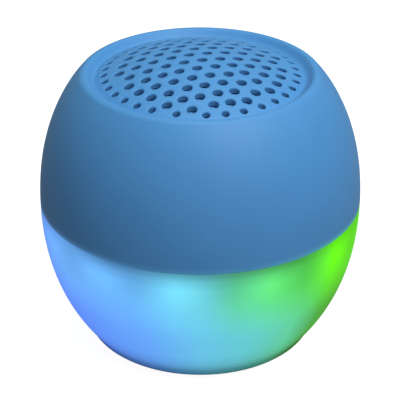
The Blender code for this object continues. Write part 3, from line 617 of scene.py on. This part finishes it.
def hole_places():
    """Centres and radii of the grille's holes.

    Points of a triangular lattice that lie near the edge move out to one ring of smaller holes.
    Holes that come too close then push each other apart, the ring's own along the ring.
    """
    across = Vector(polar(HOLE_PITCH, LATTICE_TURN))
    along = Vector(polar(HOLE_PITCH, LATTICE_TURN + math.radians(60)))
    start = (across + along) / 3 + Vector(LATTICE_SHIFT)
    reach = int(GRILLE_EDGE / HOLE_PITCH) + 3
    points, on_ring = [], []
    for column in range(-reach, reach + 1):
        for row in range(-reach, reach + 1):
            point = across * column + along * row + start
            if point.length < HOLE_FIELD:
                points.append(point)
                on_ring.append(False)
            elif point.length < HOLE_REACH:
                points.append(point.normalized() * EDGE_HOLE_RING)
                on_ring.append(True)
    for _ in range(SPACING_ROUNDS):
        pushes = [Vector((0, 0)) for _ in points]
        for one in range(len(points)):
            for two in range(one):
                spacing = HOLE_SPACINGS[on_ring[one] + on_ring[two]]
                between = points[one] - points[two]
                if between.length < spacing:
                    push = between.normalized() * (spacing - between.length) * 0.3
                    pushes[one] += push
                    pushes[two] -= push
        for index, push in enumerate(pushes):
            points[index] = points[index] + push
            if on_ring[index]:
                points[index] = points[index].normalized() * EDGE_HOLE_RING
    return [(point, EDGE_HOLE_RADIUS if edge else HOLE_RADIUS)
            for point, edge in zip(points, on_ring)]


def dome_z(radius):
    return DOME_TOP - DOME_FALL * radius * radius


def sheet_between(edge_radius, holes, margin, segments, sides, spacing):
    """Points, triangles and rim loops of a disc with holes, with extra points in between."""
    points, edges, loops = [], [], []
    rings = [((0.0, 0.0), edge_radius, segments)]
    rings += [(centre, radius + margin, sides) for centre, radius in holes]
    for centre, radius, count in rings:
        first = len(points)
        for step in range(count):
            x, y = polar(radius, math.tau * step / count)
            points.append(Vector((centre[0] + x, centre[1] + y)))
            edges.append((first + step, first + (step + 1) % count))
        loops.append(list(range(first, first + count)))
    reach = int(edge_radius / spacing) + 1
    for row in range(-reach, reach + 1):
        for column in range(-reach, reach + 1):
            point = Vector(((column + 0.5 * (row % 2)) * spacing, row * spacing * 0.866))
            clear = all((point - Vector(centre)).length > radius + 0.25 * spacing
                        for centre, radius, count in rings[1:])
            if clear and point.length < edge_radius - 0.4 * spacing:
                points.append(point)
    made = delaunay_2d_cdt(points, edges, [], 0, 1e-7)
    corners, faces = made[0], made[2]
    solid = []
    for face in faces:
        middle = sum((corners[index] for index in face), Vector((0, 0))) / len(face)
        in_hole = any((middle - Vector(centre)).length < radius * math.cos(math.pi / count)
                      for centre, radius, count in rings[1:])
        if not in_hole and middle.length < edge_radius:
            solid.append(list(face))
    return corners, solid, loops


def make_grille():
    """Perforated dome: every hole has a softly rounded mouth and a straight wall."""
    holes = hole_places()
    segments, sides, margin, top_edge = 160, 24, 0.30 * MM, 21.42 * MM
    bm = bmesh.new()
    corners, faces, loops = sheet_between(top_edge, holes, margin, segments, sides, 1.1 * MM)
    top = [bm.verts.new((point.x, point.y, dome_z(point.length))) for point in corners]
    for face in faces:
        bm.faces.new([top[index] for index in face])
    corners, faces, low_loops = sheet_between(GRILLE_SKIRT, holes, 0.0, segments, sides,
                                              3.0 * MM)
    low = [bm.verts.new((point.x, point.y, dome_z(point.length) - GRILLE_WALL))
           for point in corners]
    for face in faces:
        bm.faces.new([low[index] for index in face])

    mouth = [(0.19 * MM, 0.02 * MM), (0.10 * MM, 0.07 * MM), (0.04 * MM, 0.14 * MM),
             (0.01 * MM, 0.24 * MM), (0.0, 0.34 * MM)]
    for number, (centre, radius) in enumerate(holes, 1):
        ring = [top[index] for index in loops[number]]
        for extra, drop in mouth:
            lower = []
            for step in range(sides):
                x, y = polar(radius + extra, math.tau * step / sides)
                x, y = centre[0] + x, centre[1] + y
                lower.append(bm.verts.new((x, y, dome_z(math.hypot(x, y)) - drop)))
            bridge(bm, ring, lower)
            ring = lower
        # Below its mouth each hole's wall takes the second finish, the darker painted shade.
        wall_start = len(bm.faces)
        bridge(bm, ring, [low[index] for index in low_loops[number]])
        bm.faces.ensure_lookup_table()
        for face in bm.faces[wall_start:]:
            face.material_index = 1

    flange_low, flange_high = grille_low.z, 59.7 * MM
    valley_edge = RIM_RING - RIM_BEAD - 0.04 * MM
    skirt = [(21.6 * MM, 61.78 * MM), (21.8 * MM, 61.66 * MM), (22.0 * MM, 61.54 * MM),
             (22.15 * MM, 61.46 * MM), (valley_edge, VALLEY_Z), (valley_edge, 61.0 * MM),
             (GRILLE_EDGE, 60.8 * MM), (GRILLE_EDGE, flange_high), (GRILLE_FLANGE, flange_high),
             (GRILLE_FLANGE, flange_low), (GRILLE_SKIRT, flange_low)]
    ring = [top[index] for index in loops[0]]
    for radius, z in skirt:
        lower = [bm.verts.new((*polar(radius, math.tau * step / segments), z))
                 for step in range(segments)]
        bridge(bm, ring, lower)
        ring = lower
    bridge(bm, ring, [low[index] for index in low_loops[0]])
    grille = new_piece("perforated_dome", bm, FINISHES["soft_shell"], sharp=38)
    grille.data.materials.append(HOLE_SHADE_FINISH)
    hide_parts("speaker_grille")


# ---------------------------------------------------------------- lit bowl

def make_bowl():
    """Milky lower bowl: the outline runs down, then turns in under the bowl on a soft corner."""
    edge = 0.3 * MM
    top = bowl_high.z
    lip_z = SEAM_Z - LIP_GAP
    tongue_out, tongue_in = 33.7 * MM, 32.85 * MM
    rest_z, recess, recess_z = bowl_low.z, 18.2 * MM, 3.6 * MM
    opening, flange_z = 13.5 * MM, 5.1 * MM
    turn_z, corner_in, corner_z = 4.0 * MM, 0.1 * MM, 2.15 * MM
    under_radius, under_z, seat_radius, turn_steps = 22.0 * MM, 1.3 * MM, 18.8 * MM, 8
    flange_edge, inner_low, inner_high = 21.0 * MM, 7.0 * MM, 30.5 * MM
    outer = [(body_radius(z), z) for z in heights(lip_z - edge, turn_z, 60)]
    lip = arc((outer[0][0] - edge, lip_z - edge), edge, math.pi / 2, 0, 6)[:-1]
    turn_in = []
    start, end = outer[-1], (under_radius, under_z)
    corner = (start[0] - corner_in, corner_z)
    for step in range(1, turn_steps + 1):
        share = step / turn_steps
        turn_in.append(tuple((1 - share) ** 2 * a + 2 * share * (1 - share) * b + share ** 2 * c
                             for a, b, c in zip(start, corner, end)))
    inner = [inside_body(z, WALL) for z in heights(inner_low, inner_high, 24)]
    profile = ([(tongue_in, top), (tongue_out, top), (tongue_out, lip_z)] + lip + outer
               + turn_in + [(seat_radius, rest_z), (recess, rest_z), (recess, recess_z),
                            (opening, recess_z), (opening, flange_z), (flange_edge, flange_z)]
               + inner)
    bowl = new_piece("glowing_bowl", turned(profile, 240), FINISHES["milky_diffuser"])
    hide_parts("light_diffuser")


# ---------------------------------------------------------------- controls

def make_button(name, angle):
    """A slightly domed cap, with a flange behind the shell and a stem towards its switch."""
    face = [(0.30, 0.27), (0.60, 0.22), (0.80, 0.13), (0.92, 0.02), (0.98, -0.12),
            (1.0, -0.35)]
    loops = [(circle(BUTTON_RADIUS * share), BUTTON_PROUD + rise * MM, True)
             for share, rise in face]
    flange_radius, stem_radius = 3.7 * MM, 1.2 * MM
    flange_out, flange_in, stem_end = 30.0 * MM, 29.3 * MM, 27.3 * MM
    for radius, depth in ((BUTTON_RADIUS, flange_out), (flange_radius, flange_out),
                          (flange_radius, flange_in), (stem_radius, flange_in),
                          (stem_radius, stem_end)):
        loops.append((circle(radius), depth, False))
    cap = new_piece(f"cap_{name}", surface_solid(loops, angle, BUTTON_Z), FINISHES["soft_shell"],
                    f"{name}_key")
    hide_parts(f"button_{name}")


def bar(half_width, half_height, centre=(0.0, 0.0)):
    corner = min(half_width, half_height) * 0.9
    return [(x + centre[0], z + centre[1])
            for x, z in rounded_loop(half_width, half_height, corner, 4)]


def cross(length, thick):
    """A plus sign with round ends."""
    points = []
    for turn in range(4):
        spin = Matrix.Rotation(turn * math.pi / 2, 2)
        end = arc((length - thick, 0.0), thick, -math.pi / 2, math.pi / 2, 6)
        arm = end + [(thick, thick)]
        points += [tuple(spin @ Vector(point)) for point in arm]
    return points


def make_marks():
    """Generic key marks, raised a little from the caps."""
    width = 0.26 * MM
    play = [(-1.25 * MM, 0.72 * MM), (-1.25 * MM, -0.72 * MM), (-0.15 * MM, 0.0)]
    marks = {
        "minus": [bar(1.15 * MM, width)],
        "plus": [cross(1.15 * MM, width)],
        "play": [play, bar(0.17 * MM, 0.72 * MM, (0.35 * MM, 0.0)),
                 bar(0.17 * MM, 0.72 * MM, (0.95 * MM, 0.0))],
    }
    for name, outlines in marks.items():
        total = bmesh.new()
        for outline in outlines:
            solid = surface_solid([(outline, BUTTON_PROUD + 0.34 * MM, True),
                                   (outline, BUTTON_PROUD + 0.05 * MM, True)],
                                  BUTTONS[name], BUTTON_Z)
            mesh = bpy.data.meshes.new("mark")
            solid.to_mesh(mesh)
            solid.free()
            total.from_mesh(mesh)
            bpy.data.meshes.remove(mesh)
        mark = new_piece(f"mark_{name}", total, MARK_FINISH, f"{name}_key")


def make_flap():
    """Silicone flap with rounded edges, a thumb ridge and a plug on its inner side."""
    thick = 1.0 * MM
    face = [(-2.1, 0.0), (-1.5, 0.0), (-0.9, 0.0), (-0.45, 0.0), (-0.16, -0.04),
            (-0.04, -0.14), (0.0, -0.32)]
    loops = []
    for inset, drop in face:
        inset *= MM
        loops.append((rounded_loop(FLAP_HALF_WIDTH + inset, FLAP_HALF_HEIGHT + inset,
                                   FLAP_CORNER + inset, along=11), drop * MM, True))
    edge = rounded_loop(FLAP_HALF_WIDTH, FLAP_HALF_HEIGHT, FLAP_CORNER, along=11)
    loops.append((edge, -thick, True))
    flap = new_piece("silicone_flap", surface_solid(loops, BACK, PORT_Z, True),
                     FINISHES["blue_rubber"], "flap")
    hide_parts("port_flap")

    plug_loops = [(rounded_loop(3.8 * MM, 1.1 * MM, 0.9 * MM), 33.8 * MM, False),
                  (rounded_loop(3.8 * MM, 1.1 * MM, 0.9 * MM), 32.75 * MM, False),
                  (rounded_loop(3.6 * MM, 0.9 * MM, 0.7 * MM), 32.6 * MM, False)]
    plug = new_piece("flap_plug", surface_solid(plug_loops, BACK, PORT_Z),
                     FINISHES["blue_rubber"], "flap")

    ridge_half = (0.30 * MM, 1.15 * MM)
    for number in range(3):
        shift = -4.6 * MM + number * 0.95 * MM
        outline = [(x + shift, z) for x, z in rounded_loop(*ridge_half, 0.26 * MM, 4)]
        ridge = surface_solid([(outline, 0.3 * MM, True), (outline, -0.2 * MM, True)], BACK,
                              PORT_Z)
        piece = new_piece(f"flap_ridge_{number + 1}", ridge, FINISHES["blue_rubber"], "flap")


# ---------------------------------------------------------------- driver's soft parts

def wedge(profile, start, span, steps=6):
    """A closed slice of a turned ring, between two angles."""
    bm = bmesh.new()
    slices = []
    for step in range(steps + 1):
        turn = start + span * step / steps
        slices.append([bm.verts.new((*polar(radius, turn), z)) for radius, z in profile])
    for one, two in zip(slices, slices[1:]):
        bridge(bm, one, two)
    bm.faces.new(slices[0])
    bm.faces.new(slices[-1])
    return bm


def make_suspension():
    """Rubber roll and woven spider, cut into wedges between basket and cone."""
    lip, skin = 57.8 * MM, 0.4 * MM
    roll_centre, roll_radius = (16.6 * MM, lip), 1.6 * MM
    surround_in, surround_out = 13.6 * MM, 20.0 * MM
    over = arc(roll_centre, roll_radius + skin, math.pi * 0.95, math.pi * 0.05, 14)
    under = arc(roll_centre, roll_radius, 0, math.pi, 14)
    roll = ([(surround_in, lip + skin)] + over
            + [(surround_out, lip + skin), (surround_out, lip)] + under + [(surround_in, lip)])
    spider_in, spider_out, spider_z, weave = 6.95 * MM, 13.8 * MM, 50.95 * MM, 0.3 * MM
    waves, wave_height, steps = 5, 0.16 * MM, 40
    ridge = []
    for step in range(steps + 1):
        share = step / steps
        wave = wave_height * (1 - math.cos(math.tau * waves * share)) * (1 - share ** 6)
        ridge.append((spider_in + (spider_out - spider_in) * share, spider_z + wave))
    spider = ridge + [(radius, z + weave) for radius, z in reversed(ridge)]
    kinds = (("surround", roll, "driver_surround", "dark_rubber", 18.4 * MM, 14.9 * MM),
             ("spider", spider, "driver_spider", "woven_spider", 13.6 * MM, 7.3 * MM))
    wedges = 12
    span = math.tau / wedges
    for label, profile, node, slot, held, moving in kinds:
        for number in range(wedges):
            piece = new_piece(f"{label}_wedge_{number + 1:02d}",
                              wedge(profile, number * span, span), FINISHES[slot], body=None)
            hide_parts(node)
            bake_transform(piece)


def make_dust_cloth():
    """Acoustic cloth glued under the dome: a formed disc, cut to 43.2 mm across."""
    reach, thick, rings, below_dome = 21.2 * MM, 0.16 * MM, 24, 0.5 * MM
    radii = [max(reach * step / rings, 0.02 * MM) for step in range(rings + 1)]
    top = [(radius, dome_z(radius) - GRILLE_WALL - below_dome) for radius in radii]
    low = [(radius, z - thick) for radius, z in reversed(top)]
    cloth = new_piece("dust_cloth", turned(top + low, 96), FINISHES["screen_cloth"])
    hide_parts("dust_screen")


# ---------------------------------------------------------------- carried-over CAD pieces

def finish_cad_nodes():
    slots = {entry["node"]: entry["material_slot"] for entry in frame["record"]["subparts"]}
    for name, node in frame["nodes"].items():
        finish = FINISHES[slots[name]]
        if not node.data.materials:
            node.data.materials.append(finish)
        for index in range(len(node.data.materials)):
            node.data.materials[index] = finish


# ---------------------------------------------------------------- stage

def make_stage():
    """A plain pale floor that looks white and throws little light back on the object."""
    bm = bmesh.new()
    bmesh.ops.create_grid(bm, x_segments=4, y_segments=4, size=4.0)
    mesh = bpy.data.meshes.new("floor")
    bm.to_mesh(mesh)
    bm.free()
    floor = bpy.data.objects.new("floor", mesh)
    bpy.context.scene.collection.objects.link(floor)
    tree = Tree("pale_floor")
    tree.shader.inputs["Base Color"].default_value = grey(0.25)
    tree.shader.inputs["Roughness"].default_value = 1.0
    tree.shader.inputs["Specular IOR Level"].default_value = 0.0
    tree.shader.inputs["Emission Color"].default_value = grey(1.0)
    seen = tree.add("ShaderNodeLightPath").outputs["Is Camera Ray"]
    tree.link(tree.maths("MULTIPLY", seen, 0.95), tree.shader.inputs["Emission Strength"])
    mesh.materials.append(tree.material)


def make_world():
    world = bpy.data.worlds.new("studio")
    bpy.context.scene.world = world
    world.use_nodes = True
    nodes, links = world.node_tree.nodes, world.node_tree.links
    light = nodes["Background"]
    light.inputs["Color"].default_value = (0.95, 0.98, 1.0, 1.0)
    light.inputs["Strength"].default_value = 0.265
    seen = nodes.new("ShaderNodeBackground")
    seen.inputs["Color"].default_value = grey(1.0)
    seen.inputs["Strength"].default_value = 1.05
    path = nodes.new("ShaderNodeLightPath")
    either = nodes.new("ShaderNodeMixShader")
    links.new(path.outputs["Is Camera Ray"], either.inputs[0])
    links.new(light.outputs[0], either.inputs[1])
    links.new(seen.outputs[0], either.inputs[2])
    links.new(either.outputs[0], nodes["World Output"].inputs["Surface"])


def add_softbox(name, azimuth, elevation, distance, size, power, color=(1.0, 1.0, 1.0)):
    """An area light aimed at the body's middle. Azimuth 0 is in front, positive to the right."""
    light = bpy.data.lights.new(name, "AREA")
    light.shape = "DISK"
    light.size = size
    light.energy = power
    light.color = color
    lamp = bpy.data.objects.new(name, light)
    bpy.context.scene.collection.objects.link(lamp)
    turn, tilt = math.radians(azimuth), math.radians(elevation)
    toward = Vector((math.sin(turn) * math.cos(tilt), -math.cos(turn) * math.cos(tilt),
                     math.sin(tilt)))
    lamp.location = Vector((0, 0, SEAM_Z)) + toward * distance
    lamp.rotation_mode = "QUATERNION"
    lamp.rotation_quaternion = toward.to_track_quat("Z", "Y")


def make_lights():
    add_softbox("key_softbox", 38, 50, 0.8, 0.5, 4.4)
    add_softbox("top_softbox", 120, 82, 0.9, 0.6, 4.2, (0.86, 1.0, 0.89))


def make_camera():
    """Three-quarter view from above: 28 degrees down, 0.356 m from the middle of the body."""
    elevation, distance = math.radians(28), 355.7 * MM
    aim = Vector((-0.05 * MM, 0, 32.05 * MM))
    toward = Vector((0, -math.cos(elevation), math.sin(elevation)))
    data = bpy.data.cameras.new("camera")
    data.sensor_width = 36.0
    data.lens = 145.3
    data.clip_start, data.clip_end = 0.01, 20.0
    camera = bpy.data.objects.new("camera", data)
    bpy.context.scene.collection.objects.link(camera)
    camera.location = aim + toward * distance
    camera.rotation_mode = "QUATERNION"
    camera.rotation_quaternion = toward.to_track_quat("Z", "Y")
    bpy.context.scene.camera = camera
    bpy.context.scene.view_settings.view_transform = "Standard"


finish_cad_nodes()
make_shell()
make_port_bezel()
make_grille()
make_bowl()
for button, button_angle in BUTTONS.items():
    make_button(button, button_angle)
make_marks()
make_flap()
make_suspension()
make_dust_cloth()
make_stage()
make_world()
make_lights()
make_camera()
